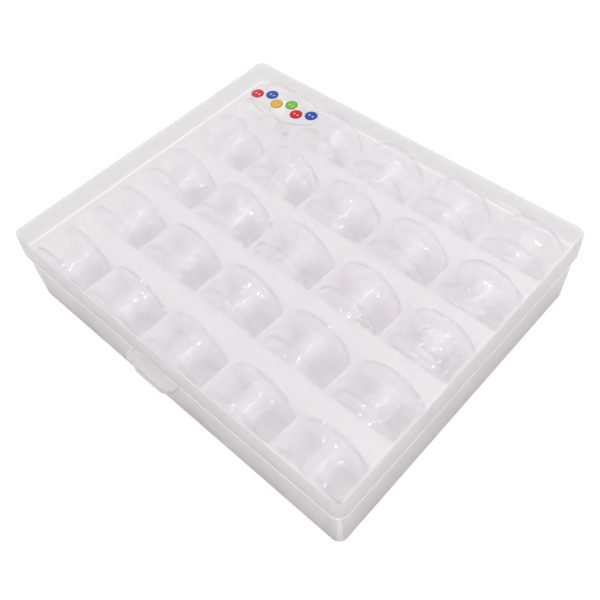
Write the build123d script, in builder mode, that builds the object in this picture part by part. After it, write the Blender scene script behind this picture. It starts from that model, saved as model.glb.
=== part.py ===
"""Bobbin box: a hinged polypropylene case whose tray holds 25 sewing-machine bobbins on edge.

Millimetres, +Z up. The origin is the middle of the box's footprint, at the height of the surface it
stands on. X runs along the long sides, the thumb tab is on the -Y side and the hinges on the +Y side.
"""
import os
from math import atan, degrees

from build123d import *

os.makedirs("parts", exist_ok=True)

# ---- Driving dimensions -------------------------------------------------------------------------
# Bobbins, class 15: they lie on edge, with their axes along Y.
bobbin_diameter = 20.5
bobbin_height = 11.6
bobbin_hub_diameter = 8.6
bobbin_bore_diameter = 6.2
flange_thickness = 1.0
bobbin_axis_z = 13.5

# The grid of pockets.
columns = 5
rows = 5
column_pitch = 24.0
row_pitch = 21.0
ridge_thickness = 1.1
pocket_width = 12.6

# Tray: outer wall, deck and half-round cups, all of about one thickness, open from below. Its wall
# steps in at a ledge just under the lid, and the lip above the ledge goes inside the lid.
base_length = 121.0
base_width = 100.4
base_corner_radius = 2.6
lip_length = 119.8
lip_width = 98.8
lip_corner_radius = 2.4
tray_rim_z = 20.0
tray_wall = 1.1
tray_draft = 0.25
deck_z = 15.8
deck_thickness = 1.2
seat_gap = 0.05
mouth_chamfer = 0.35
rim_chamfer = 0.3
ledge_chamfer = 0.2
wall_lap = 0.4

# Lid: a shallow tray turned over, whose skirt goes outside the tray's lip, down to its ledge.
lid_length = 122.2
lid_width = 101.2
lid_corner_radius = 2.8
lid_seam_z = 16.4
lid_top_z = 26.2
lid_wall = 1.0
lid_top_thickness = 1.2
lid_draft = 0.2
lid_edge_radius = 0.9

# Thumb tab on the lid and the lug that it lands on, a little to the left of the middle.
tab_x = -1.0
tab_width = 18.4
tab_reach = 3.4
tab_thickness = 1.4
tab_corner_radius = 2.2
tab_recess_depth = 0.5
tab_lip = 1.1
lug_width = 13.6
lug_front_width = 10.6
rest_gap = 0.15
lug_height = 2.3
lug_slope = 3.0
lug_corner_radius = 1.2

# Snap bead on the tray wall and the groove in the skirt that it clicks into.
snap_z = 18.3
snap_length = 30.0
snap_bead = 0.12
snap_groove = 0.2

# Two hinges, each a knuckle on the lid with a stub pin at both ends, between two ears on the tray.
hinge_x = 36.0
hinge_z = 15.8
hinge_clearance = 0.15
knuckle_length = 9.0
ear_thickness = 2.6
ear_side_gap = 0.2
stub_radius = 0.75
stub_running_gap = 0.05
snap_in_slot = 1.2
ear_foot_drop = 6.5
arm_rise = 2.4

# Clear oval film on the lid.
film_length = 27.0
film_width = 14.0
film_thickness = 0.15
film_x = -38.5
film_y = 38.0

# ---- Sizes that follow from them ------------------------------------------------------------------
pocket_radius = (column_pitch - ridge_thickness) / 2
cradle_z = bobbin_axis_z - bobbin_diameter / 2 - seat_gap + pocket_radius
cup_radius = pocket_radius + deck_thickness
cup_width = pocket_width + 2 * deck_thickness
ledge_z = lid_seam_z - rest_gap
inner_length = lip_length - 2 * tray_wall
inner_width = lip_width - 2 * tray_wall
inner_corner_radius = lip_corner_radius - tray_wall
under_length = base_length - 2 * tray_wall
under_width = base_width - 2 * tray_wall
under_corner_radius = base_corner_radius - tray_wall
tray_taper = degrees(atan(tray_draft / ledge_z))
lid_height = lid_top_z - lid_seam_z
lid_taper = degrees(atan(lid_draft / lid_height))
tray_back_y = base_width / 2
lid_back_y = lid_width / 2
ear_radius = (tab_reach - hinge_clearance) / 2
hinge_y = lid_back_y + hinge_clearance + ear_radius
knuckle_radius = ear_radius - 0.1
column_x = [column_pitch * (i - (columns - 1) / 2) for i in range(columns)]
ear_x = [
    side * hinge_x + end * (knuckle_length / 2 + ear_side_gap + ear_thickness / 2)
    for side in (-1, 1)
    for end in (-1, 1)
]
front_y = -(lid_width / 2 + tab_reach)
lug_root_y = -(base_width / 2 - wall_lap)
row_y = [row_pitch * (j - (rows - 1) / 2) for j in range(rows)]


def row_span(centre, width, limit):
    """The two ends, in Y, of a row of the given width that is kept within the limit."""
    return max(centre - width / 2, -limit), min(centre + width / 2, limit)


# ---- Tray -----------------------------------------------------------------------------------------
with BuildPart() as tray:
    # Outer wall up to the ledge, which it leans out a little to, and the upright lip.
    with BuildSketch(Plane.XY):
        RectangleRounded(
            base_length - 2 * tray_draft, base_width - 2 * tray_draft, base_corner_radius
        )
    extrude(amount=ledge_z, taper=-tray_taper)
    chamfer(tray.edges().group_by(Axis.Z)[-1], ledge_chamfer)
    with BuildSketch(Plane.XY.offset(deck_z)):
        RectangleRounded(lip_length, lip_width, lip_corner_radius)
    extrude(amount=tray_rim_z - deck_z)

    # The inside, cut from above and from below: what stays between is the deck.
    with BuildSketch(Plane.XY.offset(deck_z)):
        RectangleRounded(inner_length, inner_width, inner_corner_radius)
    extrude(amount=tray_rim_z - deck_z, mode=Mode.SUBTRACT)
    chamfer(tray.edges().group_by(Axis.Z)[-1], rim_chamfer)
    with BuildSketch(Plane.XY):
        RectangleRounded(under_length, under_width, under_corner_radius)
    extrude(amount=deck_z - deck_thickness, mode=Mode.SUBTRACT)

    # Rows of half-round cups that hang from the deck.
    for centre in row_y:
        near, far = row_span(centre, cup_width, under_width / 2 + wall_lap)
        with BuildSketch(Plane.XZ.offset(-far)):
            with Locations(*[(x, cradle_z) for x in column_x]):
                Circle(cup_radius)
            with Locations((0, deck_z)):
                Rectangle(
                    under_length + 2 * wall_lap,
                    deck_z,
                    align=(Align.CENTER, Align.MAX),
                    mode=Mode.INTERSECT,
                )
        extrude(amount=far - near)

    # The pockets: round floors, straight ends above them.
    for centre in row_y:
        near, far = row_span(centre, pocket_width, inner_width / 2)
        with BuildSketch(Plane.XZ.offset(-far)):
            with Locations(*[(x, cradle_z) for x in column_x]):
                Circle(pocket_radius)
                Rectangle(
                    2 * pocket_radius, 2 * pocket_radius, align=(Align.CENTER, Align.MIN)
                )
            with Locations((0, cradle_z)):
                Rectangle(inner_length, 4 * pocket_radius, mode=Mode.INTERSECT)
        extrude(amount=far - near, mode=Mode.SUBTRACT)
    mouth_edges = [
        edge
        for edge in tray.edges().filter_by_position(Axis.Z, deck_z, deck_z)
        if abs(edge.center().X) < inner_length / 2 - mouth_chamfer
        and abs(edge.center().Y) < inner_width / 2 - mouth_chamfer
    ]
    chamfer(mouth_edges, mouth_chamfer)

    # Lug under the thumb tab: it narrows towards its front, and its underside slopes up to there.
    with BuildSketch(Plane.XY.offset(ledge_z)) as lug_plan:
        with BuildLine():
            Polyline(
                (tab_x - lug_width / 2, lug_root_y),
                (tab_x - lug_front_width / 2, front_y),
                (tab_x + lug_front_width / 2, front_y),
                (tab_x + lug_width / 2, lug_root_y),
                close=True,
            )
        make_face()
        fillet(lug_plan.vertices().group_by(Axis.Y)[0], lug_corner_radius)
    extrude(amount=-(lug_height + lug_slope))
    with BuildSketch(Plane.YZ.offset(tab_x)):
        with BuildLine():
            Polyline(
                (front_y, ledge_z - lug_height),
                (lug_root_y - wall_lap, ledge_z - lug_height - lug_slope),
                (front_y, ledge_z - lug_height - lug_slope),
                close=True,
            )
        make_face()
    extrude(amount=lug_width, both=True, mode=Mode.SUBTRACT)

    # Snap bead on the outside of the lip, at the front.
    with BuildSketch(Plane.YZ.offset(tab_x)):
        with Locations((-lip_width / 2, snap_z)):
            Circle(snap_bead)
    extrude(amount=snap_length / 2, both=True)

    # Hinge ears: a round boss with a gusset that runs down the back wall. The slot in its top is
    # narrower than the stub pin, which snaps in through it.
    for x in ear_x:
        with BuildSketch(Plane.YZ.offset(x)):
            with BuildLine():
                Polyline(
                    (tray_back_y - wall_lap, hinge_z),
                    (hinge_y, hinge_z),
                    (hinge_y, hinge_z - ear_radius),
                    (tray_back_y - wall_lap, hinge_z - ear_foot_drop),
                    close=True,
                )
            make_face()
            with Locations((hinge_y, hinge_z)):
                Circle(ear_radius)
                Circle(stub_radius + stub_running_gap, mode=Mode.SUBTRACT)
                Rectangle(
                    snap_in_slot,
                    2 * ear_radius,
                    align=(Align.CENTER, Align.MIN),
                    mode=Mode.SUBTRACT,
                )
        extrude(amount=ear_thickness / 2, both=True)
tray.part.label = "base_tray"
export_step(tray.part, "parts/base_tray.step")

# ---- Lid ------------------------------------------------------------------------------------------
with BuildPart() as lid:
    # Outer shape, which narrows a little towards its top.
    with BuildSketch(Plane.XY.offset(lid_seam_z)):
        RectangleRounded(lid_length, lid_width, lid_corner_radius)
    extrude(amount=lid_height, taper=lid_taper)
    fillet(lid.edges().group_by(Axis.Z)[-1], lid_edge_radius)
    chamfer(lid.edges().group_by(Axis.Z)[0], rim_chamfer)

    # Thumb tab, level with the lower edge of the skirt.
    with BuildSketch(Plane.XY.offset(lid_seam_z)) as tab_plan:
        with Locations((tab_x, front_y)):
            Rectangle(tab_width, tab_reach + lid_wall / 2, align=(Align.CENTER, Align.MIN))
        fillet(tab_plan.vertices().group_by(Axis.Y)[0], tab_corner_radius)
    extrude(amount=tab_thickness)
    with BuildSketch(Plane.XY.offset(lid_seam_z + tab_thickness)) as recess_plan:
        with Locations((tab_x, front_y + tab_lip)):
            Rectangle(
                tab_width - 2 * tab_lip, tab_reach - tab_lip, align=(Align.CENTER, Align.MIN)
            )
        fillet(recess_plan.vertices().group_by(Axis.Y)[0], tab_corner_radius - tab_lip / 2)
    extrude(amount=-tab_recess_depth, mode=Mode.SUBTRACT)

    # Hinge knuckles: a barrel on an arm that comes out of the back of the skirt, with stub pins.
    for x in (-hinge_x, hinge_x):
        with BuildSketch(Plane.YZ.offset(x)):
            with BuildLine():
                Polyline(
                    (lid_back_y - lid_wall / 2, lid_seam_z),
                    (lid_back_y - lid_wall / 2, lid_seam_z + arm_rise),
                    (hinge_y, hinge_z + knuckle_radius),
                    (hinge_y, hinge_z),
                    close=True,
                )
            make_face()
            with Locations((hinge_y, hinge_z)):
                Circle(knuckle_radius)
        extrude(amount=knuckle_length / 2, both=True)
        with BuildSketch(Plane.YZ.offset(x)):
            with Locations((hinge_y, hinge_z)):
                Circle(stub_radius)
        extrude(amount=knuckle_length / 2 + ear_side_gap + ear_thickness, both=True)

    # The hollow that goes over the tray, and the groove for its bead.
    with BuildSketch(Plane.XY.offset(lid_seam_z)):
        RectangleRounded(
            lid_length - 2 * lid_wall, lid_width - 2 * lid_wall, lid_corner_radius - lid_wall
        )
    extrude(amount=lid_height - lid_top_thickness, mode=Mode.SUBTRACT)
    with BuildSketch(Plane.YZ.offset(tab_x)):
        with Locations((lid_wall - lid_width / 2, snap_z)):
            Circle(snap_groove)
    extrude(amount=snap_length / 2 + snap_groove, both=True, mode=Mode.SUBTRACT)
lid.part.label = "lid"
export_step(lid.part, "parts/lid.step")

# ---- Clear film on the lid ------------------------------------------------------------------------
with BuildPart() as film:
    with BuildSketch(Plane.XY.offset(lid_top_z)):
        with Locations((film_x, film_y)):
            Ellipse(film_length / 2, film_width / 2)
    extrude(amount=film_thickness)
film.part.label = "label_film"
export_step(film.part, "parts/label_film.step")

# ---- Bobbins --------------------------------------------------------------------------------------
with BuildPart() as bobbin:
    # Two flat flanges on a tubular hub.
    with BuildSketch(Plane.XZ):
        Circle(bobbin_hub_diameter / 2)
    extrude(amount=bobbin_height / 2, both=True)
    for side in (-1, 1):
        with BuildSketch(Plane.XZ.offset(side * (bobbin_height - flange_thickness) / 2)):
            Circle(bobbin_diameter / 2)
        extrude(amount=flange_thickness / 2, both=True)
    with BuildSketch(Plane.XZ):
        Circle(bobbin_bore_diameter / 2)
    extrude(amount=bobbin_height / 2, both=True, mode=Mode.SUBTRACT)

for j, y in enumerate(row_y, start=1):
    for i, x in enumerate(column_x, start=1):
        placed = bobbin.part.moved(Location((x, y, bobbin_axis_z)))
        placed.label = f"bobbin_r{j}_c{i}"
        export_step(placed, f"parts/{placed.label}.step")
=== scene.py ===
"""Bobbin box of milky polypropylene that holds twenty-five clear bobbins, dressed for its picture.

Metres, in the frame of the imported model: X runs along the long sides, the thumb tab is on the -Y side
and the hinges on the +Y side, +Z is up. Sizes are written in millimetres and multiplied by MM.
"""

from math import pi, radians

import bmesh
import bpy
from mathutils import Matrix, Vector


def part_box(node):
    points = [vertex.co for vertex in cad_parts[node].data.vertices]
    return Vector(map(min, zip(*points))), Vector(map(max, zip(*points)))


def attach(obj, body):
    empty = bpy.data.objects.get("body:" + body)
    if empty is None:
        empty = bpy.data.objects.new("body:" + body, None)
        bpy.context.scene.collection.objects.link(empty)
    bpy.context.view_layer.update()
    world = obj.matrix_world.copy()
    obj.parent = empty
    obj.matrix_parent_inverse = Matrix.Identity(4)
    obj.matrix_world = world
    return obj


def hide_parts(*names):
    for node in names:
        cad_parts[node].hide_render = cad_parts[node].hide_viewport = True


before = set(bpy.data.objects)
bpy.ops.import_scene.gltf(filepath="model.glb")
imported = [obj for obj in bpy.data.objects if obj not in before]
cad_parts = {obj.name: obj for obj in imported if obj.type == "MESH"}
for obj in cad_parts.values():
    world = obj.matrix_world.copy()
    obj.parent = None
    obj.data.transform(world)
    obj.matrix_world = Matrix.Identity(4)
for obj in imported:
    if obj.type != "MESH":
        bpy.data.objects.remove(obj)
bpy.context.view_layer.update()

MM = 0.001
WHITE = (1.0, 1.0, 1.0, 1.0)
BLACK = (0.0, 0.0, 0.0, 1.0)

# ---- Camera ---------------------------------------------------------------------------------------
CAMERA_AIM = Vector((3.29, -2.29, 0.0)) * MM
CAMERA_DISTANCE = 221.5 * MM
CAMERA_AZIMUTH = radians(47.31)      # from the front of the box towards its right side
CAMERA_ELEVATION = radians(52.77)
CAMERA_ROLL = radians(-5.86)
CAMERA_LENS = 44.66                  # on a sensor 36 mm wide
CAMERA_SENSOR = 36

# ---- Floor and light ------------------------------------------------------------------------------
FLOOR_SIZE = 6
PAPER_COLOUR = (0.6, 0.6, 0.6, 1.0)
PAPER_GLOW = 0.5
ROOM_LIGHT_BELOW = 0.4
ROOM_LIGHT_FROM_ABOVE = 0.93         # what is added straight above
LAMPS = (
    # Name, place in metres, width and length in metres, watts. The length is turned to +Y.
    ("strip_lamp", (0.20, 0.26, 0.57), (0.08, 0.50), 1.1),
    ("left_lamp", (-0.55, 0.30, 0.20), (0.10, 0.10), 0.35),
    ("front_lamp", (-0.20, -0.50, 0.50), (0.10, 0.10), 0.42),
)

# ---- Bobbin, class 15 -----------------------------------------------------------------------------
BOBBIN_RADIUS = 10.25 * MM
BOBBIN_HEIGHT = 11.6 * MM
FLANGE_THICKNESS = 1.0 * MM
HUB_RADIUS = 4.3 * MM
BORE_RADIUS = 3.1 * MM
RIM_ROUNDING = 0.38 * MM
HUB_FILLET = 0.5 * MM
BORE_ROUNDING = 0.3 * MM
EDGE_ROUNDING = 0.1 * MM             # of the thread holes
THREAD_HOLE_RADIUS = 1.1 * MM
THREAD_HOLE_PLACE = 6.9 * MM         # from the bobbin's axis
THREAD_HOLE_SEGMENTS = 24
BOBBIN_AXIS_HEIGHT = 13.5 * MM
COLUMN_PITCH = 24.0 * MM
ROW_PITCH = 21.0 * MM
SPIN_STEPS = 64
TURN_BETWEEN_BOBBINS = 97            # degrees, so that no two neighbours lie alike
NEARLY = 0.01 * MM

# Zones of the bobbin's finish, each as the two distances from its axis that it fades between.
# The hub skin carries a painted pale sheen and the rim skin painted shade; the hub and rim zones carry
# facets, painted edge shade and painted glints.
HUB_SKIN = (HUB_RADIUS, HUB_RADIUS + 0.4 * MM)
HUB_ZONE = (HUB_RADIUS + 0.6 * MM, HUB_RADIUS + 1.4 * MM)
RIM_ZONE = (BOBBIN_RADIUS - 1.2 * MM, BOBBIN_RADIUS - 0.6 * MM)
RIM_SKIN = (BOBBIN_RADIUS - 0.45 * MM, BOBBIN_RADIUS - 0.2 * MM)
HUB_ENDS = (2.6 * MM, 3.6 * MM)      # along the axis, from the middle of the bobbin

BOBBIN_GLASS_TINT = (0.985, 0.987, 1.0, 1.0)
BOBBIN_CLEAR_TINT = (0.995, 0.995, 1.0, 1.0)
# painted shade: a dark bluish colour laid on the rims, the curved edges and the places seen edge on
BOBBIN_PAINTED_SHADE_COLOUR = (0.32, 0.34, 0.41, 1.0)
# painted highlight: a pale sheen laid on the hub
BOBBIN_PAINTED_SHEEN_COLOUR = (0.92, 0.925, 0.945, 1.0)
BOBBIN_MIRROR = 0.085
BENDING_SHARE = 0.15                 # of what is seen through a bobbin, the share that it bends
MOULDING_WAVE_SIZE = 2.6 * MM
MOULDING_WAVE_DEPTH = 0.11 * MM
FACET_SIZE = 1.1 * MM
FACET_SLOPE = 0.3
# Painted glints: small white spots that glow with their own emission, at the ends of the hub and along the
# rims.
GLINT_SPACING = 1.1 * MM
GLINT_RADIUS = 0.31 * MM
GLINT_SHARE = 0.38                   # of the places where a glint can be
GLINT_STRETCH = (1.0, 0.6, 1.0)      # glints are longer along the axis

# ---- Lid ------------------------------------------------------------------------------------------
# The lid's walls get a painted shade, darker than its top.
LID_TOP_COLOUR = (0.86, 0.84, 0.845, 1.0)
LID_WALL_PAINTED_SHADE = (0.72, 0.695, 0.705, 1.0)
LID_PAINTED_HIGHLIGHT_COLOUR = (0.99, 0.965, 0.975, 1.0)
LID_PAINTED_LIP_GLOW = (0.45, 0.44, 0.445, 1.0)
LID_CLEAR_TINT = (0.95, 0.945, 0.947, 1.0)
LID_VEIL = 0.38
LID_SKIRT = (60.3 * MM, 49.8 * MM)   # the skirt is further out than this, in X or in Y
LID_LIP = (17.1 * MM, 17.8 * MM)     # the painted highlight on the lower edge fades out between these heights
# the painted highlight on the rounded corner round the top lies between these heights
LID_CREST = ((25.4 * MM, 25.65 * MM), (25.85 * MM, 26.1 * MM))
TAB_ROOT = -50.65 * MM               # the thumb tab is in front of this
SPECK_SPACING = 22.0 * MM
SPECK_RADIUS = 0.25 * MM
SPECK_COLOUR = (0.30, 0.30, 0.33, 1.0)

# ---- Tray -----------------------------------------------------------------------------------------
TRAY_DULL_COLOUR = (0.945, 0.92, 0.93, 1.0)
TRAY_FRESH_COLOUR = (0.985, 0.96, 0.97, 1.0)
# painted shade: a darker tint laid on the outer wall
TRAY_WALL_PAINTED_SHADE = (0.82, 0.795, 0.80, 1.0)
# painted highlight: the rim's upper edge glows with emission
TRAY_RIM_PAINTED_GLOW = (0.8, 0.785, 0.79, 1.0)
TRAY_VEIL = 0.95
TRAY_WALL = (60.0 * MM, 49.6 * MM)   # the outer wall is further out than this, in X or in Y
# the painted rim highlight lies between these heights
TRAY_RIM = ((19.6 * MM, 19.7 * MM), (19.9 * MM, 19.98 * MM))

# ---- Film with printed buttons --------------------------------------------------------------------
FILM_GAP = 0.01 * MM
FILM_ROUNDING = 0.08 * MM
FILM_SEGMENTS = 120
FILM_COLOUR = (0.9, 0.88, 0.88, 1.0)
FILM_EDGE_COLOUR = (0.45, 0.36, 0.34, 1.0)
FILM_EDGE = (0.25 * MM, 0.1 * MM)    # the darker edge fades in between these, from the film's outline
BUTTON_PITCH = 4.2 * MM
BUTTON_STAGGER = 1.2 * MM
BUTTON_RADIUS = 2.0 * MM
BUTTON_BORDER = 0.35 * MM
BUTTON_HOLE_RADIUS = 0.35 * MM
BUTTON_HOLE_PLACE = 0.65 * MM
RED_INK = (0.50, 0.008, 0.02, 1.0)
BLUE_INK = (0.01, 0.06, 0.34, 1.0)
OCHRE_INK = (0.58, 0.34, 0.02, 1.0)
GREEN_INK = (0.14, 0.38, 0.02, 1.0)
BUTTON_INKS = (RED_INK, BLUE_INK, OCHRE_INK, GREEN_INK, RED_INK, BLUE_INK)


# ---- Shader maths ---------------------------------------------------------------------------------
class Wire:
    """A value that comes out of a shader node. Sums and products of wires add Math nodes."""

    def __init__(self, tree, socket):
        self.tree = tree
        self.socket = socket

    def maths(self, operation, *values, clamp=False):
        """A Math node on this wire and then the other values."""
        return self.combine(operation, self, *values, clamp=clamp)

    def combine(self, operation, *values, clamp=False):
        settings = {"operation": operation, "use_clamp": clamp}
        return Board(self.tree).node("ShaderNodeMath", settings, dict(enumerate(values)))

    def __add__(self, other):
        return self.maths("ADD", other)

    def __radd__(self, other):
        return self.combine("ADD", other, self)

    def __sub__(self, other):
        return self.maths("SUBTRACT", other)

    def __rsub__(self, other):
        return self.combine("SUBTRACT", other, self)

    def __mul__(self, other):
        return self.maths("MULTIPLY", other)

    def __rmul__(self, other):
        return self.combine("MULTIPLY", other, self)

    def __truediv__(self, other):
        return self.maths("DIVIDE", other)

    def __pow__(self, other):
        return self.maths("POWER", other)

    def __lt__(self, other):
        return self.maths("LESS_THAN", other)

    def __gt__(self, other):
        return self.maths("GREATER_THAN", other)

    def __abs__(self):
        return self.maths("ABSOLUTE")

    def or_more(self, other):
        """The larger of the two."""
        return self.maths("MAXIMUM", other)

    def clamped(self):
        return self.maths("ADD", 0.0, clamp=True)

    def ramp(self, low, high):
        """0 where the value is low, 1 where it is high, smooth between them."""
        settings = {"interpolation_type": "SMOOTHSTEP"}
        values = {"Value": self, "From Min": low, "From Max": high}
        return Board(self.tree).node("ShaderNodeMapRange", settings, values)

    def between(self, start, end):
        """1 from the start to the end, each of which is the two values that it fades between."""
        return self.ramp(*start) * (1 - self.ramp(*end))

    def from_nearest(self, pitch):
        """The distance from the nearest multiple of the pitch."""
        return self.maths("WRAP", pitch / 2, -pitch / 2)


class Board:
    """A node tree that nodes are added to and wired up on."""

    def __init__(self, tree):
        self.tree = tree

    def node(self, kind, settings=None, values=None, output=0):
        """Adds a node: its settings first, then the value or the wire of each socket. Gives an output."""
        node = self.tree.nodes.new(kind)
        for name, setting in (settings or {}).items():
            setattr(node, name, setting)
        for name, value in (values or {}).items():
            if isinstance(value, Wire):
                self.tree.links.new(value.socket, node.inputs[name])
            else:
                node.inputs[name].default_value = value
        return Wire(self.tree, node.outputs[output])

    def place(self):
        """The point on the piece, in the frame's own metres."""
        return self.node("ShaderNodeTexCoord", output="Object")

    def parts(self, vector):
        """The X, Y and Z of a vector."""
        return [self.node("ShaderNodeSeparateXYZ", None, {"Vector": vector}, axis) for axis in "XYZ"]

    def vector_maths(self, operation, first, second, output=0):
        return self.node("ShaderNodeVectorMath", {"operation": operation}, {0: first, 1: second}, output)

    def noise(self, size, detail):
        values = {"Vector": self.place(), "Scale": 1 / size, "Detail": detail, "Roughness": 0.5}
        return self.node("ShaderNodeTexNoise", None, values, "Fac")

    def cells(self, place, size, output):
        """Space in cells at random: the distance from a cell's middle, that middle, or its own colour."""
        return self.node("ShaderNodeTexVoronoi", None, {"Vector": place, "Scale": 1 / size}, output)

    def blend(self, share, first, second, how="MIX"):
        """The first colour where share is 0, the second where it is 1."""
        settings = {"data_type": "RGBA", "blend_type": how}
        return self.node("ShaderNodeMix", settings, {"Factor": share, 6: first, 7: second}, 2)

    def bump(self, height, depth, **under):
        values = {"Height": height, "Distance": depth, "Strength": 1.0, **under}
        return self.node("ShaderNodeBump", None, values)

    def spots(self, size, radius, share, stretch):
        """1 in small spots strewn at random over the given share of the cells, drawn out by the stretch."""
        place = self.vector_maths("MULTIPLY", self.place(), stretch)
        away = self.cells(place, size, "Distance")
        chance = self.parts(self.cells(place, size, "Color"))[0]
        return (1 - away.ramp(0.7 * radius / size, radius / size)) * (chance < share)

    def facets(self, size, slope, under):
        """The normal of a surface broken into flat facets, each tilted its own way, over the normal under."""
        place = self.place()
        reach = self.vector_maths("SUBTRACT", place, self.cells(place, size, "Position"))
        tilt = self.vector_maths("SUBTRACT", self.cells(place, size, "Color"), (0.5, 0.5, 0.5))
        height = self.vector_maths("DOT_PRODUCT", reach, tilt, "Value")
        return self.bump(height * slope, 1.0, Normal=under)

    def show(self, shader, kind="ShaderNodeOutputMaterial"):
        output = self.tree.nodes.new(kind)
        self.tree.links.new(shader.socket, output.inputs["Surface"])


def new_finish(name):
    """A material with an empty board."""
    finish = bpy.data.materials.new(name)
    finish.use_nodes = True
    finish.node_tree.nodes.clear()
    return finish, Board(finish.node_tree)


# ---- Finishes -------------------------------------------------------------------------------------
def outer_face(board):
    """1 where a ray comes upon the plastic from outside, 0 where it leaves it."""
    return 1 - board.node("ShaderNodeNewGeometry", output="Backfacing")


def edge_on(board, **normal):
    """0 where the surface is seen square on, 1 where it is seen along itself."""
    return board.node("ShaderNodeLayerWeight", None, {"Blend": 0.5, **normal}, "Facing")


def upright(board):
    """1 on walls, 0 on level faces."""
    facing = board.parts(board.node("ShaderNodeNewGeometry", output="Normal"))[2]
    return 1 - abs(facing).ramp(0.3, 0.9)


def further_out(along, front, limits):
    """1 where the place is beyond the limit in X or in Y, on any side of the box."""
    return (abs(along) > limits[0]).or_more(abs(front) > limits[1])


def clear_pane(board, tint):
    return board.node("ShaderNodeBsdfTransparent", None, {"Color": tint})


def mixed(board, share, first, second):
    """The first shader where share is 0, the second where it is 1."""
    return board.node("ShaderNodeMixShader", None, {0: share, 1: first, 2: second})


def milky(board, veil, colour, roughness, through=0.5, clear=None, glow=BLACK):
    """Clear where veil is 0. Where it is 1, a solid plastic that lets light through from behind."""
    solid = {
        "Base Color": colour,
        "Roughness": roughness,
        "Specular IOR Level": 0.2,
        "Emission Color": glow,
        "Emission Strength": 1.0,
    }
    solid = board.node("ShaderNodeBsdfPrincipled", None, solid)
    lit_behind = board.node("ShaderNodeBsdfTranslucent", None, {"Color": colour})
    solid = mixed(board, through, solid, lit_behind)
    return mixed(board, veil * outer_face(board), clear or clear_pane(board, WHITE), solid)


def glazed(board, body, least, roughness, **normal):
    """The body under a surface that mirrors the least share square on and all of it edge on."""
    mirror = least + (1 - least) * edge_on(board, **normal) ** 5.0
    gloss = {"Color": WHITE, "Roughness": roughness, **normal}
    gloss = board.node("ShaderNodeBsdfAnisotropic", None, gloss)
    return mixed(board, mirror * outer_face(board), body, gloss)


def lets_light_in(board, body, pane):
    """The body for the eye and for reflections, but a clear pane for the soft light that falls through."""
    for kind in ("Is Diffuse Ray", "Is Shadow Ray"):
        body = mixed(board, board.node("ShaderNodeLightPath", output=kind), body, pane)
    return body


def lid_polypropylene():
    """Thin clear polypropylene with a milky haze and a few dark specks. Its walls have painted shade, darker
    than its top; a painted highlight, lighter and glowing with emission, runs along its lower edge, and a
    lighter painted highlight lies on the corner round its top."""
    finish, board = new_finish("lid_polypropylene")
    place = board.place()
    along, front, height = board.parts(place)
    haze = board.noise(14 * MM, detail=3.0)
    waves = board.bump(board.noise(18 * MM, detail=1.0), 0.1 * MM)
    speck = board.cells(place, SPECK_SPACING, "Distance") < SPECK_RADIUS / SPECK_SPACING
    # Painted highlights: the lower edge is lighter and glows with emission, and the rounded corner round the
    # top is a little lighter.
    painted_lip_highlight = (1 - height.ramp(*LID_LIP)) * (front > TAB_ROOT)
    painted_crest_highlight = height.between(*LID_CREST) * further_out(along, front, LID_SKIRT)
    veil = LID_VEIL + 0.06 * haze + 0.5 * edge_on(board) ** 3.0 + 0.4 * painted_lip_highlight + 0.1 * painted_crest_highlight + speck
    # Painted shade: the walls are darker than the top.
    colour = board.blend(upright(board), LID_TOP_COLOUR, LID_WALL_PAINTED_SHADE)
    colour = board.blend(painted_lip_highlight.or_more(0.3 * painted_crest_highlight), colour, LID_PAINTED_HIGHLIGHT_COLOUR)
    colour = board.blend(speck, colour, SPECK_COLOUR)
    # painted highlight: the lower edge glows with emission
    glow = board.blend(painted_lip_highlight, BLACK, LID_PAINTED_LIP_GLOW)
    body = milky(board, veil.clamped(), colour, 0.4, glow=glow)
    body = glazed(board, body, 0.04, 0.12, Normal=waves)
    board.show(lets_light_in(board, body, clear_pane(board, LID_CLEAR_TINT)))
    return finish


def tray_polypropylene():
    """Thicker milky polypropylene, satin from its mould; light passes through it but no picture. A painted
    highlight glows with emission on the upper edge of its rim, and its outer wall has painted shade, a darker
    tint."""
    finish, board = new_finish("tray_polypropylene")
    along, front, height = board.parts(board.place())
    flow = board.noise(9 * MM, detail=4.0)
    satin = board.bump(board.noise(0.6 * MM, detail=2.0), 0.015 * MM)
    colour = board.blend(flow, TRAY_DULL_COLOUR, TRAY_FRESH_COLOUR)
    # Painted shade: the outer wall is darker.
    walls = board.blend(further_out(along, front, TRAY_WALL), WHITE, TRAY_WALL_PAINTED_SHADE)
    colour = board.blend(1.0, colour, walls, how="MULTIPLY")
    # Painted highlight: the rim's upper edge glows with emission.
    glow = board.blend(height.between(*TRAY_RIM), BLACK, TRAY_RIM_PAINTED_GLOW)
    body = milky(board, TRAY_VEIL, colour, 0.4, through=0.65, glow=glow)
    board.show(glazed(board, body, 0.03, 0.35, Normal=satin))
    return finish


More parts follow.
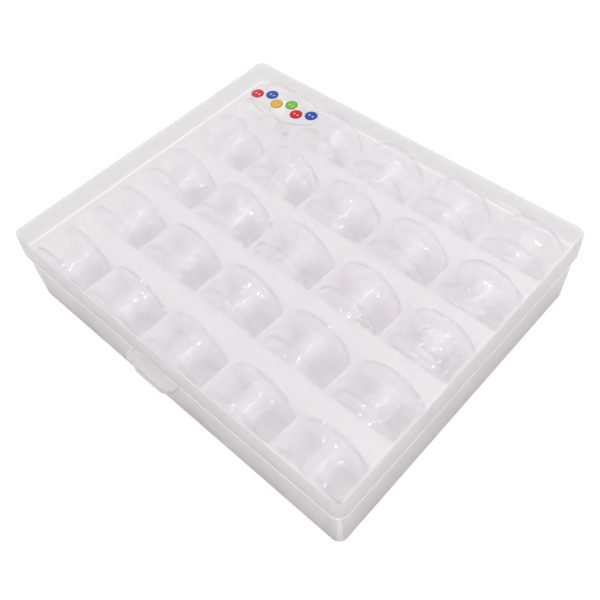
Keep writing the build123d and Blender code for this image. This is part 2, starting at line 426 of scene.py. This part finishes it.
def clear_polystyrene():
    """The polished crystal-clear plastic of the bobbins. Painted bluish shade darkens its rims, their curved
    edges and the places seen edge on, and a painted pale sheen lies on its hub. Painted glints, white spots
    that glow with emission, lie at the ends of the hub and along the rims. The soft light in the box passes
    through it."""
    finish, board = new_finish("clear_polystyrene")
    across, front, up = board.parts(board.place())
    across = across.from_nearest(COLUMN_PITCH)
    front = front.from_nearest(ROW_PITCH)
    up = up - BOBBIN_AXIS_HEIGHT
    reach = (across * across + up * up) ** 0.5
    hub = 1 - reach.ramp(*HUB_SKIN)
    rim = reach.ramp(*RIM_SKIN)
    hub_zone = 1 - reach.ramp(*HUB_ZONE)
    rim_zone = reach.ramp(*RIM_ZONE)
    sharp = hub_zone.or_more(rim_zone)
    waves = board.bump(board.noise(MOULDING_WAVE_SIZE, detail=2.0), MOULDING_WAVE_DEPTH)
    facets = board.facets(FACET_SIZE, FACET_SLOPE * sharp, waves)

    glass = {"Base Color": BOBBIN_GLASS_TINT, "Roughness": 0.04, "IOR": 1.45, "Normal": waves}
    glass = board.node("ShaderNodeBsdfPrincipled", None, {**glass, "Transmission Weight": 1.0})
    straight = clear_pane(board, BOBBIN_CLEAR_TINT)
    clear = mixed(board, BENDING_SHARE, straight, glass)

    # Painted shade: the rims, the curved edges of hub and rim and the places seen edge on get a dark bluish
    # veil; painted sheen: the hub gets a pale one.
    edge = edge_on(board) ** 6.0
    painted_edge_shade = sharp * edge_on(board) ** 3.0
    veil = 0.22 * hub + 0.42 * rim + 0.5 * edge + 0.42 * painted_edge_shade
    painted_hub_sheen = hub * (1 - edge).clamped() * (1 - painted_edge_shade).clamped()
    colour = board.blend(painted_hub_sheen, BOBBIN_PAINTED_SHADE_COLOUR, BOBBIN_PAINTED_SHEEN_COLOUR)
    body = milky(board, veil.clamped(), colour, 0.3, through=0.3, clear=clear)
    body = glazed(board, body, BOBBIN_MIRROR, 0.06, Normal=facets)

    # Painted glints: white spots that glow with their own emission.
    hub_ends = hub_zone * abs(front).ramp(*HUB_ENDS)
    glints = board.spots(GLINT_SPACING, GLINT_RADIUS, GLINT_SHARE, GLINT_STRETCH)
    glints = glints * hub_ends.or_more(0.5 * rim_zone)
    painted_glint_glow = {"Base Color": WHITE, "Emission Color": WHITE, "Emission Strength": 1.0}
    painted_glint_glow = board.node("ShaderNodeBsdfPrincipled", None, painted_glint_glow)
    body = mixed(board, glints * outer_face(board), body, painted_glint_glow)
    board.show(lets_light_in(board, body, straight))
    return finish


def printed_film():
    """Clear film with six plain sewing buttons printed on it in a zigzag, each in one colour of ink."""
    finish, board = new_finish("printed_film")
    low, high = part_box("label_film")
    middle = (low + high) / 2
    half_length = (high.x - low.x) / 2
    half_width = (high.y - low.y) / 2
    along, across, _ = board.parts(board.place())
    along = along - middle.x
    across = across - middle.y

    out_x = along / half_length
    out_y = across / half_width
    out = (out_x * out_x + out_y * out_y) ** 0.5
    outline = out.ramp(*(1 - inset / half_width for inset in FILM_EDGE))

    place = along / BUTTON_PITCH + len(BUTTON_INKS) / 2
    number = place.maths("FLOOR")
    odd = number.maths("FLOORED_MODULO", 2.0)
    along = (place - number - 0.5) * BUTTON_PITCH
    across = across - (2 * odd - 1) * BUTTON_STAGGER
    reach = (along * along + across * across) ** 0.5
    beside = abs(along) - BUTTON_HOLE_PLACE
    from_hole = (beside * beside + across * across) ** 0.5
    ink = (reach < BUTTON_RADIUS) * (from_hole > BUTTON_HOLE_RADIUS)
    ink = ink * (number > -0.5) * (number < len(BUTTON_INKS) - 0.5)
    colour = BUTTON_INKS[0]
    for count, next_ink in enumerate(BUTTON_INKS[1:]):
        colour = board.blend(number > count + 0.5, colour, next_ink)
    border = (reach > BUTTON_RADIUS - BUTTON_BORDER) * 0.25
    colour = board.blend(border, colour, BLACK)

    film = board.blend(outline, FILM_COLOUR, FILM_EDGE_COLOUR)
    body = milky(board, 0.08 + 0.2 * outline, film, 0.4)
    printed = {"Base Color": colour, "Roughness": 0.4, "Specular IOR Level": 0.1}
    printed = board.node("ShaderNodeBsdfPrincipled", None, printed)
    body = mixed(board, ink, body, printed)
    board.show(glazed(board, body, 0.04 - 0.032 * ink, 0.08))
    return finish


# ---- Modelling helpers ----------------------------------------------------------------------------
def deselect_all():
    for piece in bpy.context.selected_objects:
        piece.select_set(False)


def take_up(piece):
    """Makes the piece the only one selected, and the active one."""
    deselect_all()
    bpy.context.view_layer.objects.active = piece
    piece.select_set(True)


def start_editing(piece):
    take_up(piece)
    bpy.ops.object.mode_set(mode="EDIT")
    bpy.ops.mesh.select_mode(type="VERT")
    bpy.ops.mesh.select_all(action="SELECT")


def stop_editing():
    bpy.ops.object.mode_set(mode="OBJECT")


def pick(piece, kind, wanted):
    """In edit mode, selects the verts, edges or faces whose middle is wanted."""
    bpy.ops.mesh.select_mode(type={"verts": "VERT", "edges": "EDGE", "faces": "FACE"}[kind])
    bpy.ops.mesh.select_all(action="DESELECT")
    shape = bmesh.from_edit_mesh(piece.data)
    for item in getattr(shape, kind):
        if kind == "verts":
            middle = item.co
        else:
            middle = sum((corner.co for corner in item.verts), Vector()) / len(item.verts)
        if wanted(middle):
            item.select_set(True)
    bmesh.update_edit_mesh(piece.data)


def apply_modifier(piece, kind, **settings):
    modifier = piece.modifiers.new(kind.lower(), kind)
    for name, value in settings.items():
        setattr(modifier, name, value)
    take_up(piece)
    bpy.ops.object.modifier_apply(modifier=modifier.name)


def smooth(piece, angle):
    take_up(piece)
    bpy.ops.object.shade_smooth_by_angle(angle=angle)


# ---- Pieces ---------------------------------------------------------------------------------------
def shape_half_section(bobbin):
    """Shapes a plane into half of the bobbin's section, from the bore to the rim, and leaves its outline."""
    inner_face = BOBBIN_HEIGHT / 2 - FLANGE_THICKNESS
    bpy.ops.transform.resize(value=(HUB_RADIUS - BORE_RADIUS, BOBBIN_HEIGHT, 1))
    bpy.ops.transform.translate(value=((HUB_RADIUS + BORE_RADIUS) / 2, 0, 0))
    for side in (-1, 1):
        bpy.ops.mesh.select_all(action="SELECT")
        bpy.ops.mesh.bisect(plane_co=(0, side * inner_face, 0), plane_no=(0, 1, 0))
    pick(bobbin, "edges", lambda at: at.x > HUB_RADIUS - NEARLY and abs(at.y) > inner_face + NEARLY)
    reach = BOBBIN_RADIUS - HUB_RADIUS
    bpy.ops.mesh.extrude_region_move(TRANSFORM_OT_translate={"value": (reach, 0, 0)})
    pick(bobbin, "faces", lambda at: True)
    bpy.ops.mesh.dissolve_faces()
    corners = (
        (RIM_ROUNDING, 4, lambda at: at.x > BOBBIN_RADIUS - NEARLY),
        (HUB_FILLET, 4, lambda at: abs(at.x - HUB_RADIUS) < NEARLY and abs(at.y) < inner_face + NEARLY),
        (BORE_ROUNDING, 3, lambda at: at.x < BORE_RADIUS + NEARLY),
    )
    for radius, segments, wanted in corners:
        pick(bobbin, "verts", wanted)
        bpy.ops.mesh.bevel(offset=radius, segments=segments, affect="VERTICES")
    pick(bobbin, "faces", lambda at: True)
    bpy.ops.mesh.delete(type="ONLY_FACE")


def drill_thread_holes(bobbin):
    """One hole through each flange; the two are on opposite sides of the hub."""
    flange_middle = (BOBBIN_HEIGHT - FLANGE_THICKNESS) / 2
    for side in (-1, 1):
        deselect_all()
        bpy.ops.mesh.primitive_cylinder_add(
            vertices=THREAD_HOLE_SEGMENTS,
            radius=THREAD_HOLE_RADIUS,
            depth=3 * FLANGE_THICKNESS,
            location=(side * THREAD_HOLE_PLACE, side * flange_middle, 0),
            rotation=(pi / 2, 0, 0),
        )
        drill = bpy.context.object
        apply_modifier(bobbin, "BOOLEAN", operation="DIFFERENCE", object=drill, solver="EXACT")
        bpy.data.objects.remove(drill)


def model_bobbin():
    """One bobbin about the origin, its axis along Y: half of its section is shaped flat, then spun."""
    bpy.ops.mesh.primitive_plane_add(size=1)
    bobbin = bpy.context.object
    bobbin.name = "bobbin_pattern"
    start_editing(bobbin)
    shape_half_section(bobbin)
    bpy.ops.mesh.select_mode(type="VERT")
    bpy.ops.mesh.select_all(action="SELECT")
    bpy.ops.mesh.spin(steps=SPIN_STEPS, angle=2 * pi, center=(0, 0, 0), axis=(0, 1, 0))
    bpy.ops.mesh.select_all(action="SELECT")
    bpy.ops.mesh.remove_doubles(threshold=0.1 * NEARLY)
    bpy.ops.mesh.normals_make_consistent(inside=False)
    stop_editing()
    drill_thread_holes(bobbin)
    edges = {"limit_method": "ANGLE", "angle_limit": radians(60)}
    apply_modifier(bobbin, "BEVEL", width=EDGE_ROUNDING, segments=2, **edges)
    smooth(bobbin, radians(40))
    return bobbin


def place_bobbins(finish):
    """A copy of the bobbin for each one in the tray, turned as it was dropped in."""
    pattern = model_bobbin()
    pattern.data.materials.append(finish)
    nodes = sorted(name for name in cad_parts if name.startswith("bobbin_r"))
    for number, node in enumerate(nodes):
        low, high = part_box(node)
        turn = Matrix.Rotation(radians(number * TURN_BETWEEN_BOBBINS % 360), 4, "Y")
        bobbin = bpy.data.objects.new("clear_" + node, pattern.data.copy())
        bobbin.data.transform(Matrix.Translation((low + high) / 2) @ turn)
        bpy.context.scene.collection.objects.link(bobbin)
        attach(bobbin, node)
        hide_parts(node)
    bpy.data.objects.remove(pattern)


def cut_film(finish):
    """The oval film, a hair above the lid that it sticks to, with a rounded upper edge."""
    low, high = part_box("label_film")
    middle = (low + high) / 2
    thickness = high.z - low.z - FILM_GAP
    deselect_all()
    bpy.ops.mesh.primitive_cylinder_add(vertices=FILM_SEGMENTS, radius=0.5, depth=1)
    film = bpy.context.object
    film.name = "oval_film"
    start_editing(film)
    bpy.ops.transform.resize(value=(high.x - low.x, high.y - low.y, thickness))
    bpy.ops.transform.translate(value=(middle.x, middle.y, high.z - thickness / 2))
    pick(film, "faces", lambda at: at.z > high.z - FILM_GAP)
    bpy.ops.mesh.bevel(offset=FILM_ROUNDING, segments=3, affect="EDGES")
    stop_editing()
    smooth(film, radians(40))
    film.data.materials.append(finish)
    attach(film, "lid")
    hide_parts("label_film")


def dress(node, finish):
    """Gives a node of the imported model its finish."""
    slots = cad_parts[node].data.materials
    slots.clear()
    slots.append(finish)


# ---- Studio ---------------------------------------------------------------------------------------
def set_camera():
    turn = Matrix.Rotation(CAMERA_AZIMUTH, 4, "Z") @ Matrix.Rotation(pi / 2 - CAMERA_ELEVATION, 4, "X")
    turn = turn @ Matrix.Rotation(CAMERA_ROLL, 4, "Z")
    back = turn @ Vector((0, 0, CAMERA_DISTANCE))
    lens = bpy.data.cameras.new("camera")
    lens.lens = CAMERA_LENS
    lens.sensor_width = CAMERA_SENSOR
    lens.clip_start = 10 * MM
    camera = bpy.data.objects.new("camera", lens)
    camera.matrix_world = Matrix.Translation(CAMERA_AIM + back) @ turn
    bpy.context.scene.collection.objects.link(camera)
    bpy.context.scene.camera = camera


def plainly_seen(board, *kinds):
    """1 where a thing is seen by the eye or by rays of these kinds, with nothing milky in front of it."""
    seen = board.node("ShaderNodeLightPath", output="Is Camera Ray")
    for kind in kinds:
        seen = seen.or_more(board.node("ShaderNodeLightPath", output=kind))
    scattered = board.node("ShaderNodeLightPath", output="Is Diffuse Ray")
    panes = board.node("ShaderNodeLightPath", output="Transparent Depth")
    return seen * (1 - scattered) * (panes < 0.5)


def lay_floor():
    """White paper under the box. To the eye it is as white as the background, but for the shadow."""
    deselect_all()
    bpy.ops.mesh.primitive_plane_add(size=FLOOR_SIZE)
    floor = bpy.context.object
    floor.name = "floor"
    paper, board = new_finish("white_paper")
    diffuse = board.node("ShaderNodeBsdfDiffuse", None, {"Color": PAPER_COLOUR})
    strength = PAPER_GLOW * plainly_seen(board, "Is Transmission Ray")
    glow = board.node("ShaderNodeEmission", None, {"Color": WHITE, "Strength": strength})
    board.show(board.node("ShaderNodeAddShader", None, {0: diffuse, 1: glow}))
    floor.data.materials.append(paper)


def light_room():
    """Soft light all round, stronger from above; the background is white."""
    world = bpy.data.worlds.new("soft_room")
    bpy.context.scene.world = world
    world.use_nodes = True
    world.node_tree.nodes.clear()
    board = Board(world.node_tree)
    height = board.parts(board.node("ShaderNodeTexCoord", output="Generated"))[2]
    seen = plainly_seen(board, "Is Glossy Ray", "Is Transmission Ray")
    soft = ROOM_LIGHT_BELOW + ROOM_LIGHT_FROM_ABOVE * height.clamped()
    strength = seen + (1 - seen) * soft
    background = board.node("ShaderNodeBackground", None, {"Color": WHITE, "Strength": strength})
    board.show(background, "ShaderNodeOutputWorld")


def hang_lamp(name, place, size, power):
    """A soft box that faces the middle of the box."""
    lamp = bpy.data.lights.new(name, "AREA")
    lamp.shape = "RECTANGLE"
    lamp.size, lamp.size_y = size
    lamp.energy = power
    holder = bpy.data.objects.new(name, lamp)
    back = Vector(place).normalized()
    side = Vector((0, 1, 0)).cross(back).normalized()
    turn = Matrix((side, back.cross(side), back)).transposed().to_4x4()
    holder.matrix_world = Matrix.Translation(place) @ turn
    bpy.context.scene.collection.objects.link(holder)


set_camera()
lay_floor()
light_room()
for lamp in LAMPS:
    hang_lamp(*lamp)

place_bobbins(clear_polystyrene())
dress("base_tray", tray_polypropylene())
dress("lid", lid_polypropylene())
cut_film(printed_film())

view = bpy.context.scene.view_settings
view.view_transform = "Standard"
bounces = bpy.context.scene.cycles
bounces.max_bounces = 24
bounces.transmission_bounces = 24
bounces.transparent_max_bounces = 32
bounces.diffuse_bounces = 6
